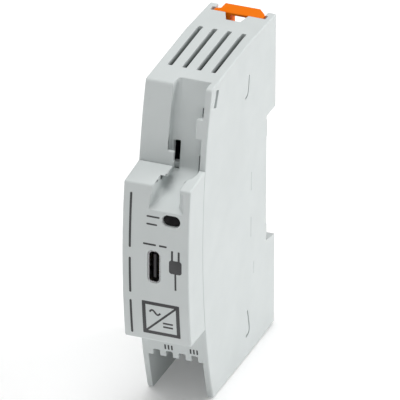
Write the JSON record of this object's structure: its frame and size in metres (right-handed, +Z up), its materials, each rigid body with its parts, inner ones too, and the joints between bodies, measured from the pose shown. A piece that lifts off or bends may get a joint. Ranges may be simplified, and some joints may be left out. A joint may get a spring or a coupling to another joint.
{
  "type": "din rail power supply",
  "caption": "Narrow DIN rail power supply with a stepped nose, a USB-C output, top vents, an open wiring bay and a sprung orange rail latch.",
  "frame": {"origin": "centre of the outer box in plan, at its lowest face", "axes": "+Z up, -Y towards the front (the nose), +Y towards the rail, +X to the right seen from the front"},
  "size_m": [0.018, 0.061, 0.09],
  "materials": {
    "housing": "fine matt moulded light grey",
    "latch": "satin moulded orange",
    "smoked_lens": "glossy dark lens",
    "led_body": "clear epoxy",
    "steel_shell": "drawn stainless steel",
    "spring_steel": "bright spring steel",
    "black_plastic": "moulded black",
    "circuit_board": "green solder mask",
    "insulation": "milky polyester film",
    "ferrite": null,
    "winding_tape": "yellow polyester tape",
    "capacitor_sleeve": "shrink sleeve",
    "film_case": "potted box",
    "blue_ceramic": "dipped epoxy",
    "copper": null,
    "heat_sink_metal": "plain extruded"
  },
  "bodies": {
    "housing": {"housing_base": "housing", "front_cover": "housing", "latch_spring": "spring_steel", "led_lens": "smoked_lens", "status_led": "led_body", "usb_shell": "steel_shell", "usb_tongue": "black_plastic", "output_board": "circuit_board", "output_controller": "black_plastic", "output_inductor": "ferrite", "board_link_header": "black_plastic", "main_board": "circuit_board", "insulation_foil": "insulation", "transformer_core": "ferrite", "transformer_bobbin": "black_plastic", "transformer_winding": "winding_tape", "bulk_capacitor_1": "capacitor_sleeve", "bulk_capacitor_2": "capacitor_sleeve", "output_capacitor_1": "capacitor_sleeve", "output_capacitor_2": "capacitor_sleeve", "x_capacitor": "film_case", "y_capacitor": "blue_ceramic", "choke_core": "ferrite", "choke_winding_1": "copper", "choke_winding_2": "copper", "fuse": "black_plastic", "varistor": "blue_ceramic", "bridge_rectifier": "black_plastic", "pwm_controller": "black_plastic", "optocoupler": "black_plastic", "switching_transistor": "black_plastic", "heat_sink": "heat_sink_metal", "terminal_housing": "housing", "clamp_spring_l": "spring_steel", "clamp_spring_n": "spring_steel", "current_bar_l": "copper", "current_bar_n": "copper"},
    "latch": {"base_latch": "latch"},
    "pusher_l": {"release_pusher_l": "latch"},
    "pusher_n": {"release_pusher_n": "latch"}
  },
  "joints": [
    {"name": "latch_slide", "type": "slide", "parent": "housing", "child": "latch", "axis": [0, 0, 1], "range_m": [0, 0.003], "stiffness_N_per_m": 1500, "springref_m": -0.002, "deforming": ["latch_spring"]},
    {"name": "pusher_l_slide", "type": "slide", "parent": "housing", "child": "pusher_l", "axis": [0, 0, 1], "range_m": [0, 0.0012], "stiffness_N_per_m": 2000, "springref_m": -0.0005, "deforming": ["clamp_spring_l"]},
    {"name": "pusher_n_slide", "type": "slide", "parent": "housing", "child": "pusher_n", "axis": [0, 0, 1], "range_m": [0, 0.0012], "stiffness_N_per_m": 2000, "springref_m": -0.0005, "deforming": ["clamp_spring_n"]}
  ]
}
